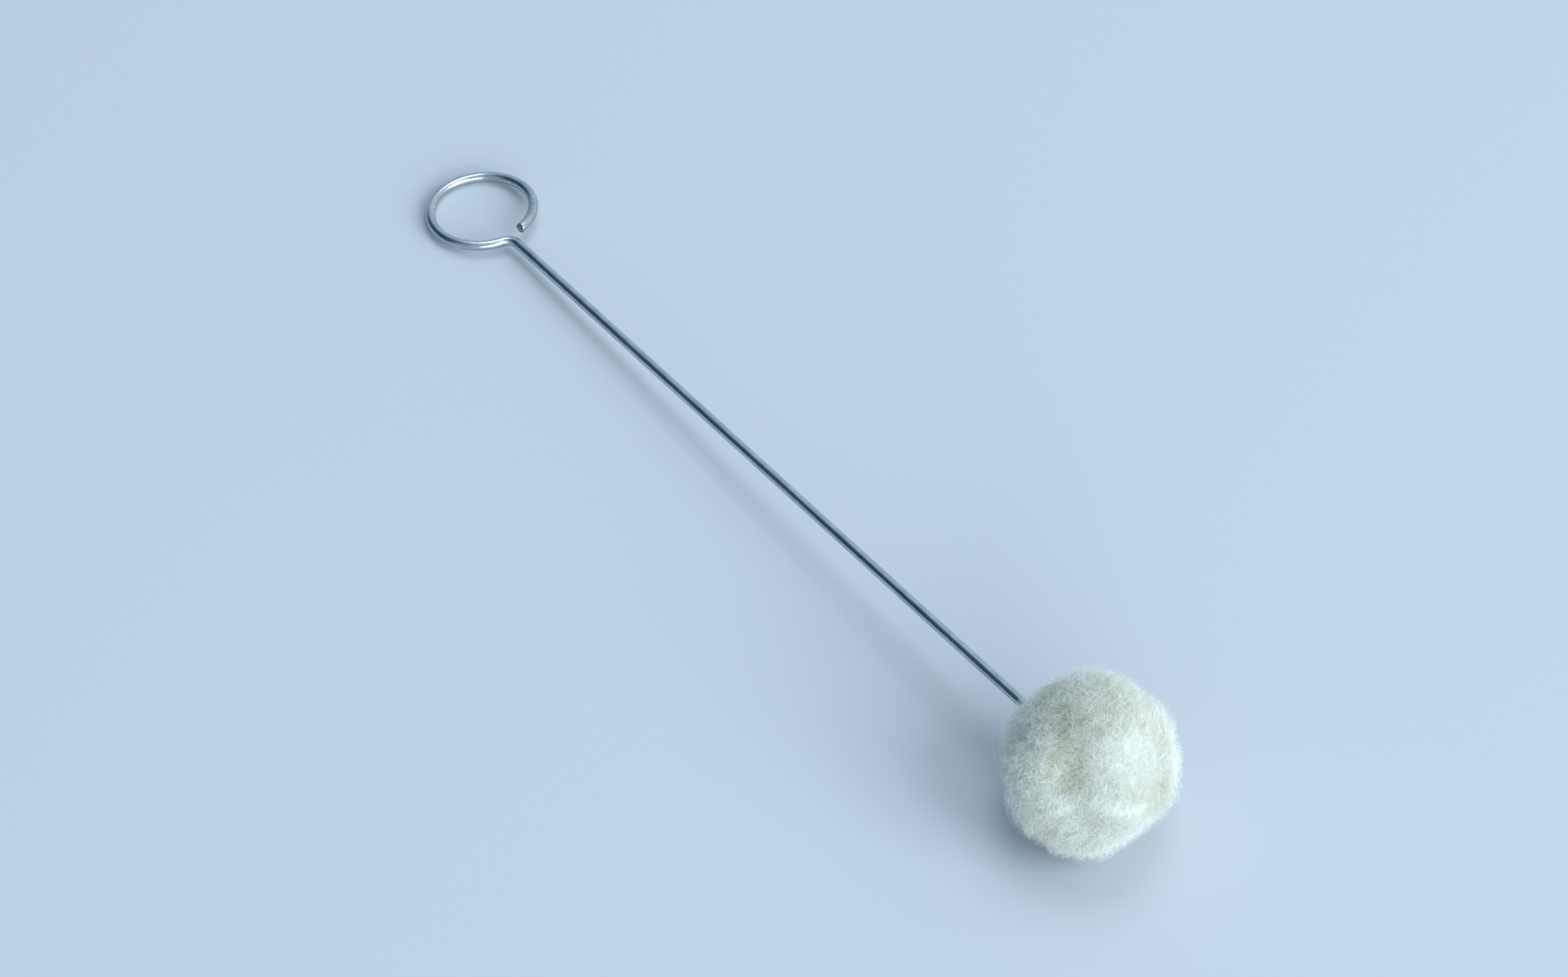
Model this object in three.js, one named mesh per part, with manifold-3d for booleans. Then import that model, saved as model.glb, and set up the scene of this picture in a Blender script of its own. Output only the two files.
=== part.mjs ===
// Wire-handled applicator: a straight steel wire with a round hanging eye at one end and a ball of
// wool pile folded round its other end. It lies at rest on the plane z = 0 and +X runs from the eye
// to the ball. Lengths are in millimetres.
import * as THREE from 'three';
import { mergeVertices } from 'three/addons/utils/BufferGeometryUtils.js';
import Module from 'manifold-3d';

const wasm = await Module();
wasm.setup();

// Driving dimensions
const eyeToBall = 98;
const wireDiameter = 1.0;
const eyeOutsideDiameter = 11.4;
const shoulderBendRadius = 1.3;
const eyeEndGap = 0.45;
const eyeEndRise = 0.5;
const ballWidth = 16.2;
const ballLength = 16.0;
const restSpotDiameter = 6.0;
const hookPastCentre = 2.4;
const hookBendRadius = 1.2;
const hookReturn = 4.5;
const channelClearance = 0.35;

// Sections along each stretch of the wire, and facets round it and round the ball
const eyeSections = 48;
const bendSections = 8;
const straightSections = 1;
const wireFacets = 12;
const ballFacets = 32;
const ballRows = 18;

const wireRadius = wireDiameter / 2;
const eyeRadius = (eyeOutsideDiameter - wireDiameter) / 2;

// The handle's own frame has its origin at the middle of the eye, +X along the handle and the eye
// in the plane z = 0. The shoulder is an arc that leaves the handle's line and meets the eye's circle
// from outside, so its centre lies one bend radius off the line and both radii from the eye's middle.
const shoulderX = Math.sqrt((eyeRadius + shoulderBendRadius) ** 2 - shoulderBendRadius ** 2);
const shoulderAngle = Math.atan2(-shoulderBendRadius, shoulderX);

// The cut end stops where its distance from the shoulder's centre leaves the gap between the two wires.
const endToShoulder = shoulderBendRadius + wireDiameter + eyeEndGap;
const shoulderToEye = eyeRadius + shoulderBendRadius;
const endAngle = shoulderAngle + Math.acos(
  (eyeRadius ** 2 + shoulderToEye ** 2 - endToShoulder ** 2) / (2 * eyeRadius * shoulderToEye)
);

// The ball sinks until its flat spot has the stated size, and the handle leans down to the far side of
// the eye, which touches the same plane.
const ballRestHeight = Math.sqrt((ballWidth / 2) ** 2 - (restSpotDiameter / 2) ** 2);
const lean = Math.asin((ballRestHeight - wireRadius) / (eyeToBall + eyeRadius));
const eyeReach = eyeRadius * Math.cos(lean) + wireRadius;
const ballReach = Math.hypot(ballLength / 2 * Math.cos(lean), ballWidth / 2 * Math.sin(lean));
const overallLength = eyeReach + eyeToBall * Math.cos(lean) + ballReach;

// Arc in the plane of the eye, from one angle to another. The start may stand out of the plane, and
// the arc comes back into it by half way.
class PlaneArc extends THREE.Curve {
  constructor(centre, radius, from, to, startRise = 0) {
    super();
    Object.assign(this, { centre, radius, from, to, startRise });
  }

  getPoint(t, target = new THREE.Vector3()) {
    const angle = THREE.MathUtils.lerp(this.from, this.to, t);
    const rise = this.startRise * (1 - THREE.MathUtils.smoothstep(t, 0, 0.5));
    return target.set(
      this.centre.x + this.radius * Math.cos(angle),
      this.centre.y + this.radius * Math.sin(angle),
      rise
    );
  }
}

// Stretches joined end to end. The parameter runs evenly over their sections rather than over length,
// so that a tight bend gets as many sections as it needs.
class BentWire extends THREE.Curve {
  constructor(stretches) {
    super();
    this.stretches = stretches;
    this.sections = stretches.reduce((sum, stretch) => sum + stretch.sections, 0);
  }

  getPoint(t, target = new THREE.Vector3()) {
    let along = t * this.sections;
    let index = 0;
    while (index < this.stretches.length - 1 && along > this.stretches[index].sections) {
      along -= this.stretches[index].sections;
      index += 1;
    }
    const { curve, sections } = this.stretches[index];
    return curve.getPoint(along / sections, target);
  }

  getUtoTmapping(u) {
    return u;
  }
}

// Straight run into the ball, then the hook: the wire turns back on itself beside its own line.
function hookedEnd(startX, extraLength) {
  const turnX = eyeToBall + hookPastCentre;
  const turnCentre = new THREE.Vector2(turnX, hookBendRadius);
  const endX = turnX - hookReturn - extraLength;
  return [
    {
      curve: new THREE.LineCurve3(new THREE.Vector3(startX, 0, 0), new THREE.Vector3(turnX, 0, 0)),
      sections: straightSections
    },
    {
      curve: new PlaneArc(turnCentre, hookBendRadius, -Math.PI / 2, Math.PI / 2),
      sections: 2 * bendSections
    },
    {
      curve: new THREE.LineCurve3(
        new THREE.Vector3(turnX, 2 * hookBendRadius, 0),
        new THREE.Vector3(endX, 2 * hookBendRadius, 0)
      ),
      sections: straightSections
    }
  ];
}

// Round bar of the given radius along the stretches
function roundBar(stretches, radius) {
  const path = new BentWire(stretches);
  const section = new THREE.Shape().absarc(0, 0, radius, 0, 2 * Math.PI);
  return new THREE.ExtrudeGeometry(section, {
    steps: path.sections,
    curveSegments: wireFacets / 2,
    extrudePath: path
  });
}

// One wire: round the eye from its cut end, through the shoulder, along the handle and into the hook
function wireHandle() {
  const eyeCentre = new THREE.Vector2(0, 0);
  const shoulderCentre = new THREE.Vector2(shoulderX, -shoulderBendRadius);
  const eye = new PlaneArc(eyeCentre, eyeRadius, endAngle, 2 * Math.PI + shoulderAngle, eyeEndRise);
  const shoulder = new PlaneArc(
    shoulderCentre, shoulderBendRadius, Math.PI + shoulderAngle, Math.PI / 2
  );
  const stretches = [
    { curve: eye, sections: eyeSections },
    { curve: shoulder, sections: bendSections },
    ...hookedEnd(shoulderX, 0)
  ];
  return roundBar(stretches, wireRadius);
}

// Closed body for cutting: positions only, shared vertices merged, and no triangle shrunk to a line
function toSolid(geometry) {
  const bare = geometry.clone();
  bare.deleteAttribute('normal');
  bare.deleteAttribute('uv');
  const merged = mergeVertices(bare);
  const corners = merged.index.array;
  const triVerts = [];
  for (let i = 0; i < corners.length; i += 3) {
    const [a, b, c] = corners.slice(i, i + 3);
    if (a !== b && b !== c && c !== a) {
      triVerts.push(a, b, c);
    }
  }
  return new wasm.Manifold(new wasm.Mesh({
    numProp: 3,
    vertProperties: new Float32Array(merged.attributes.position.array),
    triVerts: new Uint32Array(triVerts)
  }));
}

function toGeometry(solid) {
  const mesh = solid.getMesh();
  const geometry = new THREE.BufferGeometry();
  geometry.setAttribute('position', new THREE.BufferAttribute(mesh.vertProperties, 3));
  geometry.setIndex(new THREE.BufferAttribute(mesh.triVerts, 1));
  geometry.computeVertexNormals();
  return geometry;
}

// Soft ball round the hook: an oval turned about the handle, flat where it rests, with a channel that
// leaves the wire its clearance and opens at the neck
function woolBall(restPlacement) {
  const outline = new THREE.EllipseCurve(0, 0, ballWidth / 2, ballLength / 2, -Math.PI / 2, Math.PI / 2);
  const oval = new THREE.LatheGeometry(outline.getPoints(ballRows), ballFacets);
  oval.rotateZ(-Math.PI / 2);
  oval.translate(eyeToBall, 0, 0);

  const neckX = eyeToBall - ballLength / 2;
  const channel = roundBar(
    hookedEnd(neckX - wireDiameter, channelClearance), wireRadius + channelClearance
  );

  const ground = new THREE.BoxGeometry(2 * ballLength, 2 * ballWidth, ballWidth);
  ground.translate(overallLength / 2 - ballReach, 0, -ballWidth / 2);
  ground.applyMatrix4(restPlacement.clone().invert());

  return toGeometry(toSolid(oval).subtract(toSolid(channel)).subtract(toSolid(ground)));
}

const applicator = new THREE.Group();
applicator.position.set(eyeReach - overallLength / 2, 0, eyeRadius * Math.sin(lean) + wireRadius);
applicator.rotation.y = -lean;
applicator.updateMatrix();

const steelWire = new THREE.MeshStandardMaterial({ color: 0x8f9aa3, roughness: 0.35, metalness: 0.9 });
const wool = new THREE.MeshStandardMaterial({ color: 0xe9e4d4, roughness: 1.0, metalness: 0.0 });

const handleMesh = new THREE.Mesh(wireHandle(), steelWire);
handleMesh.name = 'wire_handle';
applicator.add(handleMesh);

const ballMesh = new THREE.Mesh(woolBall(applicator.matrix), wool);
ballMesh.name = 'wool_ball';
applicator.add(ballMesh);

export default applicator;
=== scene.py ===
import math

import bpy
import numpy as np
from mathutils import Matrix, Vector


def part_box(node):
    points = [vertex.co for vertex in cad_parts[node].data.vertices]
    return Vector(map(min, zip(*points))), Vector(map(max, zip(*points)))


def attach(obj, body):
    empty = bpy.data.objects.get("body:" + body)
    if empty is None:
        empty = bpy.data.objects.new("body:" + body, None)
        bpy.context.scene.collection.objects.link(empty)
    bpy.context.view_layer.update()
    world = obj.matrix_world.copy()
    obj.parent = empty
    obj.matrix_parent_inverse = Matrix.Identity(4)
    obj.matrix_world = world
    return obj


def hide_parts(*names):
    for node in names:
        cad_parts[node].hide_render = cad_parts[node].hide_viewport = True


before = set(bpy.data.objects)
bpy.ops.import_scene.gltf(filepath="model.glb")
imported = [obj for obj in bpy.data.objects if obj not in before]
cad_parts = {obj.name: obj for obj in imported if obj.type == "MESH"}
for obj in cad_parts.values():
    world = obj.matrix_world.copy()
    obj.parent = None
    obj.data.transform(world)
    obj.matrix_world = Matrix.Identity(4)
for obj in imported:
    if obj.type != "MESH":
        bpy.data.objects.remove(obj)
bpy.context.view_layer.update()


# Wire handle: one length of drawn steel wire with a bright zinc skin. One end is bent into an eye of
# a single turn whose snipped end stops beside the shoulder. The other end runs into the ball, where
# it is folded back into a hook that keeps the wool on.
mm = 0.001
wire_radius = 0.5 * mm
eye_radius = 5.2 * mm
eye_to_ball = 98.0 * mm
shoulder_radius = 1.3 * mm
eye_end_gap = 0.45 * mm
eye_end_rise = 0.5 * mm
hook_past_centre = 2.4 * mm
hook_radius = 1.2 * mm
hook_return = 4.5 * mm
rest_spot_radius = 3.0 * mm
bare_end_length = 0.16 * mm
wire_sides = 36
eye_stations = 220
bend_stations = 36
straight_stations = 60
leg_stations = 8

wire_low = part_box("wire_handle")[0]
ball_low, ball_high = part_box("wool_ball")
ball_radius = (ball_high.y - ball_low.y) / 2
ball_rest_height = math.sqrt(ball_radius ** 2 - rest_spot_radius ** 2)
lean = math.asin((ball_rest_height - wire_radius) / (eye_to_ball + eye_radius))
handle_axis = np.array([math.cos(lean), 0.0, math.sin(lean)])
across_axis = np.array([0.0, 1.0, 0.0])
eye_normal = np.cross(handle_axis, across_axis)
eye_centre = np.array([
    wire_low.x + eye_radius * math.cos(lean) + wire_radius,
    0.0,
    eye_radius * math.sin(lean) + wire_radius,
])
ball_centre = eye_centre + eye_to_ball * handle_axis


def in_part_frame(local):
    """Points of the handle's own frame: along the handle, across it and out of the eye's plane."""
    return eye_centre + local @ np.stack([handle_axis, across_axis, eye_normal])


def flat_arc(centre, radius, start, stop, count):
    """Points on a circle in the eye's plane, spaced evenly from one angle to another."""
    angle = np.linspace(start, stop, count)
    x = centre[0] + radius * np.cos(angle)
    y = centre[1] + radius * np.sin(angle)
    return np.stack([x, y, np.zeros(count)], axis=1)


def smooth_step(value, low, high):
    """0 below low, 1 above high and the cubic 3t^2 - 2t^3 between."""
    t = np.clip((value - low) / (high - low), 0, 1)
    return t * t * (3 - 2 * t)


def unit(vectors):
    """The same directions with length one."""
    return vectors / np.linalg.norm(vectors, axis=-1, keepdims=True)


def wire_path():
    """The wire's middle line: the eye's arc, the shoulder's arc that meets it from outside, the straight
    handle, and the hook's half circle with its short leg back."""
    outer = eye_radius + shoulder_radius
    shoulder_x = math.sqrt(outer ** 2 - shoulder_radius ** 2)
    shoulder_turn = math.atan2(-shoulder_radius, shoulder_x)
    reach = shoulder_radius + 2 * wire_radius + eye_end_gap
    end_turn = shoulder_turn + math.acos(
        (eye_radius ** 2 + outer ** 2 - reach ** 2) / (2 * eye_radius * outer)
    )
    eye = flat_arc((0, 0), eye_radius, end_turn, 2 * math.pi + shoulder_turn, eye_stations)
    eye[:, 2] = eye_end_rise * (1 - smooth_step(np.linspace(0, 1, eye_stations), 0, 0.5))
    shoulder = flat_arc(
        (shoulder_x, -shoulder_radius), shoulder_radius,
        math.pi + shoulder_turn, math.pi / 2, bend_stations
    )
    turn_x = eye_to_ball + hook_past_centre
    straight = np.linspace([shoulder_x, 0, 0], [turn_x, 0, 0], straight_stations)
    hook = flat_arc((turn_x, hook_radius), hook_radius, -math.pi / 2, math.pi / 2, bend_stations)
    leg_start = [turn_x, 2 * hook_radius, 0]
    leg_end = [turn_x - hook_return, 2 * hook_radius, 0]
    leg = np.linspace(leg_start, leg_end, leg_stations)
    return in_part_frame(np.concatenate([eye, shoulder[1:], straight[1:], hook[1:], leg[1:]]))


def mesh_piece(name, vertices, faces, material, smooth=True):
    """One mesh object from arrays of vertices and of faces with equal corners."""
    corners = faces.shape[1]
    mesh = bpy.data.meshes.new(name)
    mesh.vertices.add(len(vertices))
    mesh.vertices.foreach_set("co", vertices.astype(np.float32).ravel())
    mesh.loops.add(faces.size)
    mesh.loops.foreach_set("vertex_index", faces.astype(np.int32).ravel())
    mesh.polygons.add(len(faces))
    mesh.polygons.foreach_set("loop_start", np.arange(0, faces.size, corners, dtype=np.int32))
    mesh.update(calc_edges=True)
    if smooth:
        mesh.shade_smooth()
    else:
        mesh.shade_flat()
    mesh.materials.append(material)
    piece = bpy.data.objects.new(name, mesh)
    bpy.context.scene.collection.objects.link(piece)
    return piece


def closed_tube_faces(rows, columns):
    """Triangles of a grid whose last column meets its first, and a fan that closes each end round one of
    the two points that come after the grid's own."""
    row = np.arange(rows - 1)[:, None] * columns
    column = np.arange(columns)
    after = (column + 1) % columns
    near, near_after = row + column, row + after
    last_row = (rows - 1) * columns
    first_end = np.full(columns, rows * columns)
    return np.concatenate([
        np.stack([near, near_after, near_after + columns], axis=-1).reshape(-1, 3),
        np.stack([near, near_after + columns, near + columns], axis=-1).reshape(-1, 3),
        np.stack([after, column, first_end], axis=-1),
        np.stack([last_row + column, last_row + after, first_end + 1], axis=-1),
    ])


def wire_surface(path):
    """A circle carried along the path, square to it, with one side kept towards the eye's normal. At each
    end it shrinks over a few rings, and the cutter's two bevels slope back from a line across the cut.
    With it comes each point's place on the wire as if it were straight: across, up and along."""
    tangent = unit(np.gradient(path, axis=0))
    side = unit(np.cross(eye_normal, tangent))
    top = np.cross(tangent, side)
    shrink = np.array([0.25, 0.55, 0.8, 0.93, 1.0])
    back = np.array([0.0, 0.0, 0.0, 0.03, 0.10]) * mm
    cutter_slope = 0.28
    cut = len(shrink)
    last = len(path) - 1
    centre = np.concatenate([
        path[:1] + back[:, None] * tangent[0], path[2:-2], path[-1:] - back[::-1, None] * tangent[-1]
    ])
    radius = wire_radius * np.concatenate([shrink, np.ones(len(path) - 4), shrink[::-1]])
    order = np.concatenate([np.zeros(cut, int), np.arange(2, last - 1), np.full(cut, last)])
    angle = np.linspace(0, 2 * math.pi, wire_sides, endpoint=False)
    ring_side = np.cos(angle)[None, :, None] * side[order][:, None]
    ring_top = np.sin(angle)[None, :, None] * top[order][:, None]
    points = centre[:, None] + radius[:, None, None] * (ring_side + ring_top)
    bevel = cutter_slope * np.abs(radius[:, None] * np.sin(angle))
    points[:cut - 1] += bevel[:cut - 1, :, None] * tangent[0]
    points[1 - cut:] -= bevel[1 - cut:, :, None] * tangent[-1]
    length = np.concatenate([[0], np.cumsum(np.linalg.norm(np.diff(centre, axis=0), axis=1))])
    straightened = np.stack([
        np.broadcast_to(wire_radius * np.cos(angle), points.shape[:2]),
        np.broadcast_to(wire_radius * np.sin(angle), points.shape[:2]),
        np.broadcast_to(length[:, None], points.shape[:2]),
    ], axis=-1)
    surface = np.concatenate([points.reshape(-1, 3), path[[0, -1]]])
    places = np.concatenate([straightened.reshape(-1, 3), [[0, 0, 0], [0, 0, length[-1]]]])
    return surface, places, closed_tube_faces(len(points), wire_sides)


def add_node(tree, kind, links=(), **values):
    """A shader node of one kind: values set inputs or properties by name, links join outputs to inputs."""
    node = tree.nodes.new(kind)
    for key, value in values.items():
        if hasattr(node, key):
            setattr(node, key, value)
        else:
            node.inputs[key.replace("_", " ")].default_value = value
    for socket, source in links:
        tree.links.new(source, node.inputs[socket])
    return node


def colour_ramp(tree, source, *stops):
    """Colour output of a ramp on a number, with stops of position and colour."""
    ramp = add_node(tree, "ShaderNodeValToRGB", [("Fac", source)])
    elements = ramp.color_ramp.elements
    while len(elements) < len(stops):
        elements.new(1.0)
    for element, (position, colour) in zip(elements, stops):
        element.position = position
        element.color = (*colour, 1)
    return ramp.outputs["Color"]


def colour_mix(tree, factor, first, second, blend="MIX"):
    """Colour output of a mix of two colour outputs. The node has sockets of the same names for numbers, so
    its colours are taken by place: A is input 6, B is input 7 and the result is output 2."""
    mix = add_node(tree, "ShaderNodeMix", [(6, first), (7, second)], data_type="RGBA", blend_type=blend)
    if isinstance(factor, float):
        mix.inputs[0].default_value = factor
    else:
        tree.links.new(factor, mix.inputs[0])
    return mix.outputs[2]


def remap(tree, source, low, high, to_low, to_high):
    """Number output that carries the range low to high onto another range, held at its ends."""
    node = add_node(
        tree, "ShaderNodeMapRange", [("Value", source)],
        From_Min=low, From_Max=high, To_Min=to_low, To_Max=to_high
    )
    return node.outputs["Result"]


def noise(tree, place, scale, detail, roughness=0.5):
    """Number output of a noise texture at a place."""
    node = add_node(
        tree, "ShaderNodeTexNoise", [("Vector", place)], Scale=scale, Detail=detail, Roughness=roughness
    )
    return node.outputs["Fac"]


def new_material(name):
    """An empty node material with its Principled shader and its output."""
    material = bpy.data.materials.new(name)
    material.use_nodes = True
    tree = material.node_tree
    tree.nodes.clear()
    shader = tree.nodes.new("ShaderNodeBsdfPrincipled")
    output = tree.nodes.new("ShaderNodeOutputMaterial")
    tree.links.new(shader.outputs["BSDF"], output.inputs["Surface"])
    return material, tree, shader


def zinc_steel():
    """Bright zinc on steel: cloudy grey with fine draw lines along the wire and small dull specks, and bare
    steel on the snipped end."""
    draw_lines_per_metre = (9000, 9000, 160)
    clouds_per_metre = 700.0
    specks_per_metre = 4200.0
    shear_marks_per_metre = 5000.0
    bare_edge = 0.6 * bare_end_length
    polished, dull = 0.16, 0.32
    material, tree, shader = new_material("zinc_steel")
    place = add_node(tree, "ShaderNodeAttribute", attribute_name="straightened").outputs["Vector"]
    stretched = add_node(tree, "ShaderNodeMapping", [("Vector", place)], Scale=draw_lines_per_metre)
    draw_lines = noise(tree, stretched.outputs["Vector"], 1.0, 3.0)
    cloud = colour_ramp(
        tree, noise(tree, place, clouds_per_metre, 4.0),
        (0.3, (0.40, 0.44, 0.48)), (0.7, (0.54, 0.58, 0.62))
    )
    specks = colour_ramp(
        tree, noise(tree, place, specks_per_metre, 2.0),
        (0.62, (1.0, 1.0, 1.0)), (0.74, (0.55, 0.54, 0.52))
    )
    skin = colour_mix(tree, 1.0, cloud, specks, "MULTIPLY")
    along = add_node(tree, "ShaderNodeSeparateXYZ", [("Vector", place)]).outputs["Z"]
    bare = remap(tree, along, bare_end_length, bare_edge, 0.0, 1.0)
    sheared = colour_ramp(
        tree, noise(tree, place, shear_marks_per_metre, 3.0),
        (0.35, (0.20, 0.19, 0.18)), (0.65, (0.40, 0.39, 0.37))
    )
    tree.links.new(colour_mix(tree, bare, skin, sheared), shader.inputs["Base Color"])
    tree.links.new(remap(tree, draw_lines, 0.3, 0.7, polished, dull), shader.inputs["Roughness"])
    bump = add_node(tree, "ShaderNodeBump", [("Height", draw_lines)], Strength=0.25, Distance=0.02 * mm)
    tree.links.new(bump.outputs["Normal"], shader.inputs["Normal"])
    shader.inputs["Metallic"].default_value = 1.0
    return material


wire_points, wire_places, wire_faces = wire_surface(wire_path())
wire = mesh_piece("wire_handle_drawn", wire_points, wire_faces, zinc_steel())
straightened = wire.data.attributes.new("straightened", "FLOAT_VECTOR", "POINT")
straightened.data.foreach_set("vector", wire_places.astype(np.float32).ravel())
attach(wire, "root")
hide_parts("wire_handle")


# Wool ball, the matted middle: a tuft of wool pile folded round the hook. Its deep wool is felted and
# warm in colour, and painted darker than the pile as shade of the depths, in soft lobes that meet in
# creases. It lies just under the tips of the pile.

# Longitude and latitude of each lobe's middle, in degrees
lobe_places = np.radians([
    (-5, 47), (-98, 15), (-30, -22), (144, 61), (64, 10),
    (-158, 28), (128, 0), (-130, -35), (40, -50), (165, -45),
])
lobe_directions = np.stack([
    np.cos(lobe_places[:, 1]) * np.cos(lobe_places[:, 0]),
    np.cos(lobe_places[:, 1]) * np.sin(lobe_places[:, 0]),
    np.sin(lobe_places[:, 1]),
], axis=1)
crease_width = 0.5
crease_depth = 0.28 * mm
crease_strength = 0.55
crease_unevenness = 0.35
most_uneven = 1.3
uneven_stretch = 6.0 * mm
tips_inside_solid = 0.24 * mm
long_lump = 9.0 * mm
long_lump_height = 0.28 * mm
short_lump = 3.2 * mm
short_lump_height = 0.06 * mm
core_under_tips = 0.62 * mm
felt_lump = 0.9 * mm
felt_height = 0.02 * mm
fine_felt_lump = 0.45 * mm
fine_felt_height = 0.015 * mm
core_rows = 160
core_columns = 320
usual_whiteness = 0.70
# Creases are painted darker and warmer: partly the warmer wool there, partly painted shade.
crease_warmth_and_shade = 0.30
patch_size = 7.0 * mm
patch_tone = 0.05
fleck_size = 1.3 * mm
fleck_tone = 0.04
fine_fleck_size = 0.7 * mm
fine_fleck_tone = 0.09


def random_waves(points, wavelength, seed, waves=36):
    """A smooth random height, about -2 to 2, and the way uphill: the sum of sine waves of about one length
    in random directions, and the sum of their slopes."""
    slowest, fastest = 0.75, 1.35
    draw = np.random.default_rng(seed)
    heading = unit(draw.normal(size=(waves, 3)))
    pace = 2 * math.pi / wavelength * draw.uniform(slowest, fastest, (waves, 1))
    phase = points @ (heading * pace).T + draw.uniform(0, 2 * math.pi, waves)
    share = math.sqrt(2 / waves)
    return np.sin(phase).sum(axis=1) * share, np.cos(phase) @ heading * share


def nearest_lobes(directions):
    """For each direction the index of its lobe, and the angle by which the next lobe is further off."""
    angles = np.arccos(np.clip(directions @ lobe_directions.T, -1, 1))
    nearest = np.argsort(angles, axis=1)[:, :2]
    sorted_angles = np.take_along_axis(angles, nearest, axis=1)
    return nearest[:, 0], sorted_angles[:, 1] - sorted_angles[:, 0]


def crease(directions):
    """How far a direction lies in a crease, 0 to about 1: e^-(gap/width)^2 on the gap between its two
    nearest lobes, stronger in some places than in others."""
    gap = nearest_lobes(directions)[1]
    uneven = random_waves(directions * ball_radius, uneven_stretch, seed=284)[0]
    strength = crease_strength + crease_unevenness * np.clip(uneven, -most_uneven, most_uneven)
    return np.exp(-((gap / crease_width) ** 2)) * strength


def tip_distance(directions):
    """How far the wool's tips stand from the ball's middle: a little less than the ball's radius, with long
    and short lumps, less the creases."""
    place = directions * ball_radius
    long_lumps = long_lump_height * random_waves(place, long_lump, seed=11)[0]
    short_lumps = short_lump_height * random_waves(place, short_lump, seed=12)[0]
    even = ball_radius - tips_inside_solid
    return even + long_lumps + short_lumps - crease_depth * crease(directions)


def settle(points):
    """Where wool meets the table it gives way: heights under one millimetre follow e^(z-1), which never
    reaches the table."""
    z = points[..., 2] / mm
    points[..., 2] = np.where(z < 1, np.exp(np.minimum(z, 1) - 1), z) * mm
    return points


def matted_middle():
    """Rings about the handle's axis from the neck to the far end, with a point at each pole, and every
    point set under the tips."""
    lat = np.linspace(math.pi, 0, core_rows + 2)[1:-1]
    lon = np.linspace(0, 2 * math.pi, core_columns, endpoint=False)
    lat, lon = np.meshgrid(lat, lon, indexing="ij")
    rings = (
        np.cos(lat)[..., None] * handle_axis
        + (np.sin(lat) * np.cos(lon))[..., None] * across_axis
        + (np.sin(lat) * np.sin(lon))[..., None] * eye_normal
    ).reshape(-1, 3)
    directions = np.concatenate([rings, [-handle_axis, handle_axis]])
    felt = felt_height * random_waves(directions * ball_radius, felt_lump, seed=14)[0]
    fine_felt = fine_felt_height * random_waves(directions * ball_radius, fine_felt_lump, seed=15)[0]
    reach = tip_distance(directions) - core_under_tips + felt + fine_felt
    return directions, settle(ball_centre + reach[:, None] * directions)


def whiteness(directions):
    """How white the wool is, 0 to 1: a usual whiteness with paler and creamier patches and two sizes of
    fleck, less in the creases, partly for the warmer wool there and partly as painted shade."""
    place = directions * ball_radius
    patch = patch_tone * random_waves(place, patch_size, seed=51)[0]
    flecks = fleck_tone * random_waves(place, fleck_size, seed=52)[0]
    flecks += fine_fleck_tone * random_waves(place, fine_fleck_size, seed=53)[0]
    return usual_whiteness + patch + flecks - crease_warmth_and_shade * crease(directions)


def deep_wool():
    """Deep wool: cream and darker than the fibres, partly its own deeper cream and partly painted shade of
    the depths between them; warmer and darker in the creases, partly painted shade; with small blotches
    and a matted bump.
    """
    blotches_per_metre = 900.0
    blotch_tone = 0.16
    mats_per_metre = 2600.0
    material, tree, shader = new_material("deep_wool")
    place = add_node(tree, "ShaderNodeTexCoord").outputs["Object"]
    white = add_node(tree, "ShaderNodeAttribute", attribute_name="whiteness").outputs["Fac"]
    blotch = remap(
        tree, noise(tree, place, blotches_per_metre, 4.0, 0.6), 0.3, 0.7, -blotch_tone, blotch_tone
    )
    mottled = add_node(tree, "ShaderNodeMath", [(0, white), (1, blotch)], operation="ADD").outputs["Value"]
    # Darker than the fibres' tones: partly the deeper wool's own colour, partly painted shade of the
    # depths.
    tint = colour_ramp(
        tree, mottled,
        (0.1, (0.67, 0.64, 0.505)), (0.45, (0.805, 0.80, 0.735)), (0.8, (0.87, 0.87, 0.855))
    )
    tree.links.new(tint, shader.inputs["Base Color"])
    matted = noise(tree, place, mats_per_metre, 4.0)
    bump = add_node(tree, "ShaderNodeBump", [("Height", matted)], Strength=0.3, Distance=0.08 * mm)
    tree.links.new(bump.outputs["Normal"], shader.inputs["Normal"])
    shader.inputs["Roughness"].default_value = 0.95
    shader.inputs["Specular IOR Level"].default_value = 0.2
    return material


core_directions, core_points = matted_middle()
core = mesh_piece("wool_middle", core_points, closed_tube_faces(core_rows, core_columns), deep_wool())
core_white = core.data.attributes.new("whiteness", "FLOAT", "POINT")
core_white.data.foreach_set("value", whiteness(core_directions).astype(np.float32))
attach(core, "root")
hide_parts("wool_ball")


# Wool ball, the pile: fine fibres that stand out of the matted middle and end at the ball's surface.
# Neighbours gather into small locks, and those beside the wire keep clear of it.
strand_sides = 3
neck_hold = 0.56 * mm
neck_held_to = -4 * mm
neck_free_from = -1 * mm
lean_from_lobe = 0.45
least_outward = 0.5
lock_size = 1.15 * mm
small_lock_size = 0.55 * mm
longer_when_proud = 1.2


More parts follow.
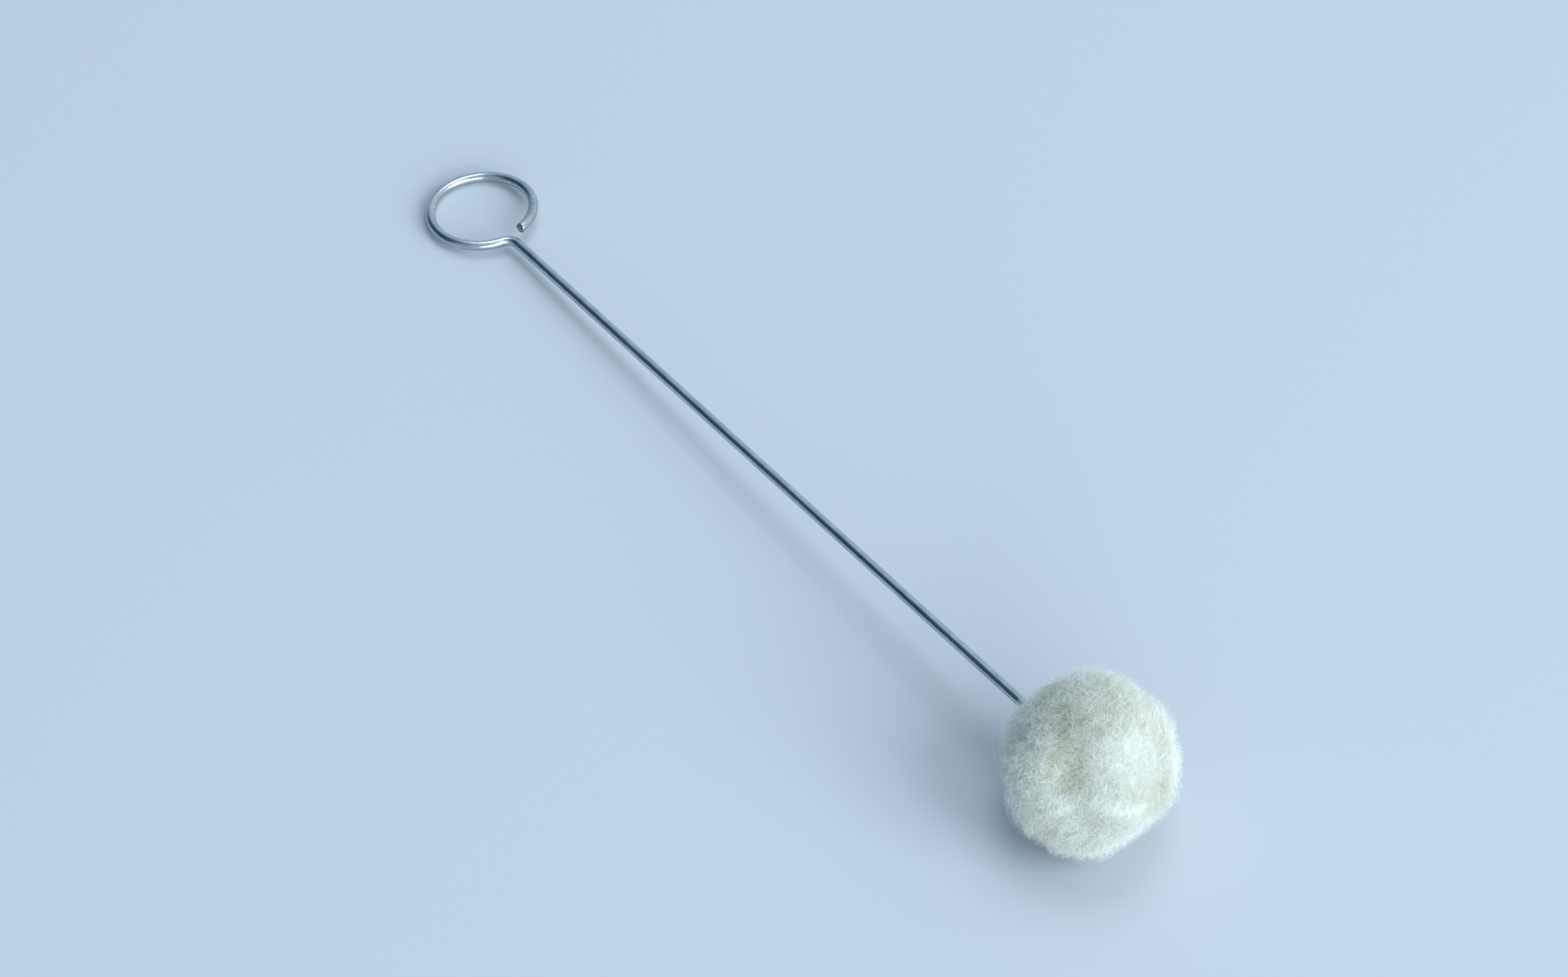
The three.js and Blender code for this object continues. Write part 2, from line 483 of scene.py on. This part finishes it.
def strands(name, lines, thickness, tone, material):
    """Closed three-sided fibres. Each line starts and ends in a point and has a small triangle at every
    station between; the fibre's map runs along it from root to tip and across by its tone. Faces are flat,
    because three sides are too few for smooth normals."""
    tone_band = 0.004
    off_line = [0.013, 0.007, 0.011]
    count, stations = lines.shape[:2]
    rings = stations - 2
    along = unit(lines[:, -1] - lines[:, 0])
    side = unit(np.cross(along, np.roll(along, 1, axis=1) + off_line))
    other = np.cross(along, side)
    angle = 2 * math.pi / strand_sides * np.arange(strand_sides)
    star = np.cos(angle)[:, None] * side[:, None] + np.sin(angle)[:, None] * other[:, None]
    ring_points = lines[:, 1:-1, None] + thickness[:, :, None, None] * star[:, None]
    vertices = np.concatenate(
        [lines[:, :1], ring_points.reshape(count, rings * strand_sides, 3), lines[:, -1:]], axis=1
    )
    j = np.arange(strand_sides)
    after = (j + 1) % strand_sides
    first, last = 1, 1 + (rings - 1) * strand_sides
    tip = rings * strand_sides + 1
    near = 1 + strand_sides * np.arange(rings - 1)[:, None]
    far = near + strand_sides
    template = np.concatenate([
        np.stack([first + after, first + j, np.zeros_like(j)], axis=1),
        np.stack([near + j, near + after, far + after], axis=-1).reshape(-1, 3),
        np.stack([near + j, far + after, far + j], axis=-1).reshape(-1, 3),
        np.stack([last + j, last + after, np.full_like(j, tip)], axis=1),
    ])
    per_strand = vertices.shape[1]
    faces = (template[None] + per_strand * np.arange(count)[:, None, None]).reshape(-1, 3)
    piece = mesh_piece(name, vertices.reshape(-1, 3), faces, material, smooth=False)
    station = np.concatenate([[0], np.repeat(np.arange(1, rings + 1), strand_sides), [rings + 1]])
    root_to_tip = np.broadcast_to(station / (rings + 1), (count, per_strand))
    band = np.concatenate([[1], np.tile(j, rings), [1]]) * tone_band
    places = np.stack([root_to_tip, tone[:, None] + band], axis=-1).reshape(-1, 2)
    fibre_map = piece.data.uv_layers.new(name="OFBake")
    fibre_map.uv.foreach_set("vector", places[faces.ravel()].astype(np.float32).ravel())
    return piece


def even_directions(count, draw):
    """Directions spread evenly over the ball on a spiral of equal areas, each nudged a little."""
    nudge = 1.2
    step = np.arange(count) + 0.5
    height = 1 - 2 * step / count
    turn = math.pi * (1 + math.sqrt(5)) * step
    level = np.sqrt(1 - height ** 2)
    spread = np.stack([level * np.cos(turn), level * np.sin(turn), height], axis=1)
    return unit(spread + draw.normal(size=(count, 3)) * nudge / math.sqrt(count))


def clear_of_wire(points):
    """Pushes wool off the wire on the neck's side: a distance d from the handle's line becomes the root of
    d squared plus the hold squared."""
    least_distance = 0.01 * mm
    offset = points - ball_centre
    along = offset @ handle_axis
    away = offset - along[..., None] * handle_axis
    distance = np.linalg.norm(away, axis=-1)
    wanted = np.sqrt(distance ** 2 + neck_hold ** 2)
    neck_side = 1 - smooth_step(along, neck_held_to, neck_free_from)
    grow = neck_side * (wanted / np.maximum(distance, least_distance) - 1)
    return points + away * grow[..., None]


def pile_lines(directions, draw, stations, length, proud, gather, wander, crimp):
    """Middle lines of fibres whose tips lie at the ball's surface or proud of it. A fibre leans away from
    the middle of its lobe and a little at random, but keeps an outward share, so that its root lies in
    the ball. Its tip shifts with its neighbours' along the slope of a random height, and its line bows to
    one side and waves from root to tip."""
    sideways_share = 0.5
    rise_share = 0.4
    least_bow, most_bow = 0.05, 0.22
    fewest_waves, most_waves = 1.6, 2.8
    wave_flatness = 0.6
    crimp_at_root, crimp_gain = 0.35, 0.65
    count = len(directions)
    lobe = nearest_lobes(directions)[0]
    from_lobe = directions - lobe_directions[lobe]
    from_lobe -= (from_lobe * directions).sum(axis=1, keepdims=True) * directions
    surface = directions * tip_distance(directions)[:, None]
    height, uphill = random_waves(surface, lock_size, seed=21)
    small, small_uphill = random_waves(surface, small_lock_size, seed=22)
    gathered = gather * (uphill * sideways_share + small_uphill * sideways_share)
    rise = proud + gather * (rise_share * height + rise_share * small)
    tip = surface + directions * rise[:, None] + gathered
    heading = unit(directions + lean_from_lobe * from_lobe + wander * draw.normal(size=(count, 3)))
    outward = (heading * directions).sum(axis=1, keepdims=True)
    heading = unit(heading + directions * np.maximum(least_outward - outward, 0))
    root = tip - heading * length[:, None] - gathered
    t = np.linspace(0, 1, stations)[None, :, None]
    line = root[:, None] + (tip - root)[:, None] * t
    bow = np.cross(heading, unit(draw.normal(size=(count, 3))))
    bow_height = length * draw.uniform(least_bow, most_bow, count)
    line += bow[:, None] * bow_height[:, None, None] * 4 * t * (1 - t)
    wave_side = unit(np.cross(heading, draw.normal(size=(count, 3))))
    wave_other = np.cross(heading, wave_side)
    turn = draw.uniform(fewest_waves, most_waves, count)[:, None, None] * 2 * math.pi * t
    turn = turn + draw.uniform(0, 2 * math.pi, count)[:, None, None]
    wave = np.sin(turn) * wave_side[:, None] + wave_flatness * np.cos(turn) * wave_other[:, None]
    line += crimp * (crimp_at_root + crimp_gain * t) * wave
    return settle(clear_of_wire(ball_centre + line))


def fibre_tone(directions, draw):
    """The wool's whiteness at each fibre with a random share of the fibre's own."""
    own_share = 0.07
    whitest = 0.97
    return np.clip(whiteness(directions) + draw.normal(0, own_share, len(directions)), 0, whitest)


def wool_fibre():
    """Wool fibre: warm at the root and paler to the tip, each with its own tone. It shines softly and lets
    a good share of the light through."""
    let_through = 0.5
    material, tree, shader = new_material("wool_fibre")
    place = add_node(tree, "ShaderNodeUVMap", uv_map="OFBake")
    parts = add_node(tree, "ShaderNodeSeparateXYZ", [("Vector", place.outputs["UV"])])
    by_length = colour_ramp(
        tree, parts.outputs["X"], (0.3, (0.965, 0.95, 0.90)), (0.8, (0.99, 0.997, 1.0))
    )
    # The tone carries the whiteness, so fibres in the creases are darker, partly as painted shade.
    by_tone = colour_ramp(
        tree, parts.outputs["Y"],
        (0.1, (0.77, 0.735, 0.60)), (0.45, (0.87, 0.87, 0.825)), (0.8, (0.965, 0.97, 0.975))
    )
    tint = colour_mix(tree, 1.0, by_tone, by_length, "MULTIPLY")
    tree.links.new(tint, shader.inputs["Base Color"])
    shader.inputs["Roughness"].default_value = 0.7
    shader.inputs["Specular IOR Level"].default_value = 0.3
    shader.inputs["Sheen Weight"].default_value = 0.2
    shader.inputs["Sheen Roughness"].default_value = 0.5
    through = add_node(tree, "ShaderNodeBsdfTranslucent", [("Color", tint)])
    both = add_node(
        tree, "ShaderNodeMixShader",
        [(1, shader.outputs["BSDF"]), (2, through.outputs["BSDF"])], Fac=let_through
    )
    output = tree.nodes["Material Output"]
    tree.links.new(both.outputs["Shader"], output.inputs["Surface"])
    return material


fibre_material = wool_fibre()
pile_count = 116000
pile_pieces = 4
pile_fibre_radius = 0.011 * mm
most_pile_proud = 1.0
draw = np.random.default_rng(31)
pile_directions = even_directions(pile_count, draw)
pile_level = draw.normal(-0.16, 0.22, pile_count)
pile_fuzz = draw.gamma(0.9, 0.36, pile_count)
pile_proud = np.minimum(pile_level + pile_fuzz, most_pile_proud)
pile_length = draw.uniform(1.0, 1.8, pile_count) + longer_when_proud * np.maximum(pile_proud, 0)
pile = pile_lines(
    pile_directions, draw, stations=3, length=pile_length * mm, proud=pile_proud * mm,
    gather=0.16 * mm, wander=0.5, crimp=0.06 * mm
)
pile_thickness = pile_fibre_radius * draw.uniform(0.7, 1.2, (pile_count, 1))
pile_tone = fibre_tone(pile_directions, draw)
for part in range(pile_pieces):
    own = slice(part, None, pile_pieces)
    share = strands(f"wool_pile_{part + 1}", pile[own], pile_thickness[own], pile_tone[own], fibre_material)
    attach(share, "root")


# Wool ball, the curls: small locks of fibres that cling together and lie across the pile at the ball's
# surface. They are thicker than single fibres and end about level with the tips round them.
curl_count = 5000
curl_radius = 0.032 * mm
draw = np.random.default_rng(35)
curl_directions = even_directions(curl_count, draw)
curl_length = draw.uniform(0.8, 1.4, curl_count)
curl_proud = draw.normal(-0.02, 0.12, curl_count)
curls = pile_lines(
    curl_directions, draw, stations=5, length=curl_length * mm, proud=curl_proud * mm,
    gather=0.10 * mm, wander=0.7, crimp=0.08 * mm
)
curl_taper = np.array([0.8, 1.0, 0.7]) * curl_radius
curl_thickness = curl_taper[None] * draw.uniform(0.7, 1.2, (curl_count, 1))
curl_piece = strands("wool_curls", curls, curl_thickness, fibre_tone(curl_directions, draw), fibre_material)
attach(curl_piece, "root")


# Wool ball, the stray fibres: single fine hairs that have worked loose from the tuft. They stand or curl
# out past the pile, are as white as its palest fibres, and thin out towards their tips.
stray_count = 3000
stray_radius = 0.006 * mm
stray_tone = 0.8
most_stray_proud = 1.3
draw = np.random.default_rng(41)
stray_directions = unit(draw.normal(size=(stray_count, 3)))
stray_proud = np.minimum(draw.gamma(1.5, 0.30, stray_count), most_stray_proud)
stray_length = draw.uniform(1.2, 2.0, stray_count) + longer_when_proud * stray_proud
strays = pile_lines(
    stray_directions, draw, stations=6, length=stray_length * mm, proud=stray_proud * mm,
    gather=0.12 * mm, wander=0.9, crimp=0.12 * mm
)
stray_taper = np.array([0.9, 1.0, 0.85, 0.6]) * stray_radius
stray_thickness = stray_taper[None] * draw.uniform(0.8, 1.2, (stray_count, 1))
stray_tones = np.full(stray_count, stray_tone)
stray_piece = strands("wool_strays", strays, stray_thickness, stray_tones, fibre_material)
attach(stray_piece, "root")


# Table: a plain pale surface for the part to lie on, matt and cool in colour. It isn't part of the object.
table_half = 4.0
table_material, _, table_shader = new_material("pale_table")
table_shader.inputs["Base Color"].default_value = (0.455, 0.485, 0.54, 1)
table_shader.inputs["Roughness"].default_value = 0.9
table_corners = table_half * np.array([[-1, -1, 0], [1, -1, 0], [1, 1, 0], [-1, 1, 0]], float)
table = mesh_piece("table", table_corners, np.array([[0, 1, 2, 3]]), table_material)


# Light: a window at the right, a long pale wall on the viewer's side and a soft light from the ceiling,
# all a little cool. The room round them is pale at the right and dark at the upper left, and the wire
# mirrors that dark side.
camera_azimuth = math.radians(53.5)
camera_elevation = math.radians(47.0)
to_right = np.array([math.cos(camera_azimuth), math.sin(camera_azimuth), 0])
to_viewer = np.array([math.sin(camera_azimuth), -math.cos(camera_azimuth), 0])
upwards = np.array([0.0, 0.0, 1.0])
cool_white = (0.85, 0.96, 1.0)
pale_side = unit(0.88 * to_right + 0.10 * to_viewer - 0.46 * upwards)


def turned_to(location, target):
    """Euler angles that point an object's -Z axis from location to target, with its Y axis upwards."""
    return Vector(target - location).to_track_quat("-Z", "Y").to_euler()


def soft_lamp(name, place, width, height, energy):
    """An oval area lamp that faces the part."""
    light = bpy.data.lights.new(name, "AREA")
    light.shape = "ELLIPSE"
    light.size = width
    light.size_y = height
    light.energy = energy
    light.color = cool_white
    lamp = bpy.data.objects.new(name, light)
    lamp.location = place
    lamp.rotation_euler = turned_to(place, np.zeros(3))
    bpy.context.scene.collection.objects.link(lamp)


window_place = 1.4 * unit(0.85 * to_right + 0.50 * to_viewer + 0.70 * upwards)
wall_place = 1.8 * unit(0.50 * to_right + 0.84 * to_viewer + 0.25 * upwards)
ceiling_place = 1.6 * unit(0.10 * to_right - 0.34 * to_viewer + 0.94 * upwards)
soft_lamp("window", window_place, width=0.95, height=0.95, energy=12.0)
soft_lamp("pale_wall", wall_place, width=2.2, height=0.9, energy=33.0)
soft_lamp("ceiling", ceiling_place, width=1.0, height=1.0, energy=7.5)

world = bpy.data.worlds.new("room")
bpy.context.scene.world = world
world.use_nodes = True
room = world.node_tree
room.nodes.clear()
looking = add_node(room, "ShaderNodeTexCoord").outputs["Generated"]
facing = add_node(room, "ShaderNodeVectorMath", [(0, looking)], operation="DOT_PRODUCT")
facing.inputs[1].default_value = tuple(pale_side)
level = remap(room, facing.outputs["Value"], -1.0, 1.0, 0.0, 1.0)
tint = colour_ramp(
    room, level,
    (0.0, (0.03, 0.09, 0.15)), (0.08, (0.04, 0.11, 0.17)), (0.15, (0.34, 0.50, 0.62)),
    (0.42, (0.54, 0.70, 0.81)), (0.66, (0.75, 0.89, 0.96))
)
background = add_node(room, "ShaderNodeBackground", [("Color", tint)], Strength=1.0)
add_node(room, "ShaderNodeOutputWorld", [("Surface", background.outputs["Background"])])


# Camera: the photograph's angle, looking down on the part so that it runs from upper left to lower right.
# A long lens at arm's length frames the one part with room round it.
view_distance = 0.60
view_width = 0.150
view_target = np.array([1.0, 0.0, 4.0]) * mm
camera_data = bpy.data.cameras.new("camera")
camera_data.sensor_width = 36.0
camera_data.lens = camera_data.sensor_width * view_distance / view_width
camera_data.clip_start = 0.01
camera = bpy.data.objects.new("camera", camera_data)
to_camera = math.cos(camera_elevation) * to_viewer + math.sin(camera_elevation) * upwards
camera.location = view_target + view_distance * to_camera
camera.rotation_euler = turned_to(view_target + view_distance * to_camera, view_target)
bpy.context.scene.collection.objects.link(camera)
bpy.context.scene.camera = camera
bpy.context.scene.view_settings.view_transform = "Standard"
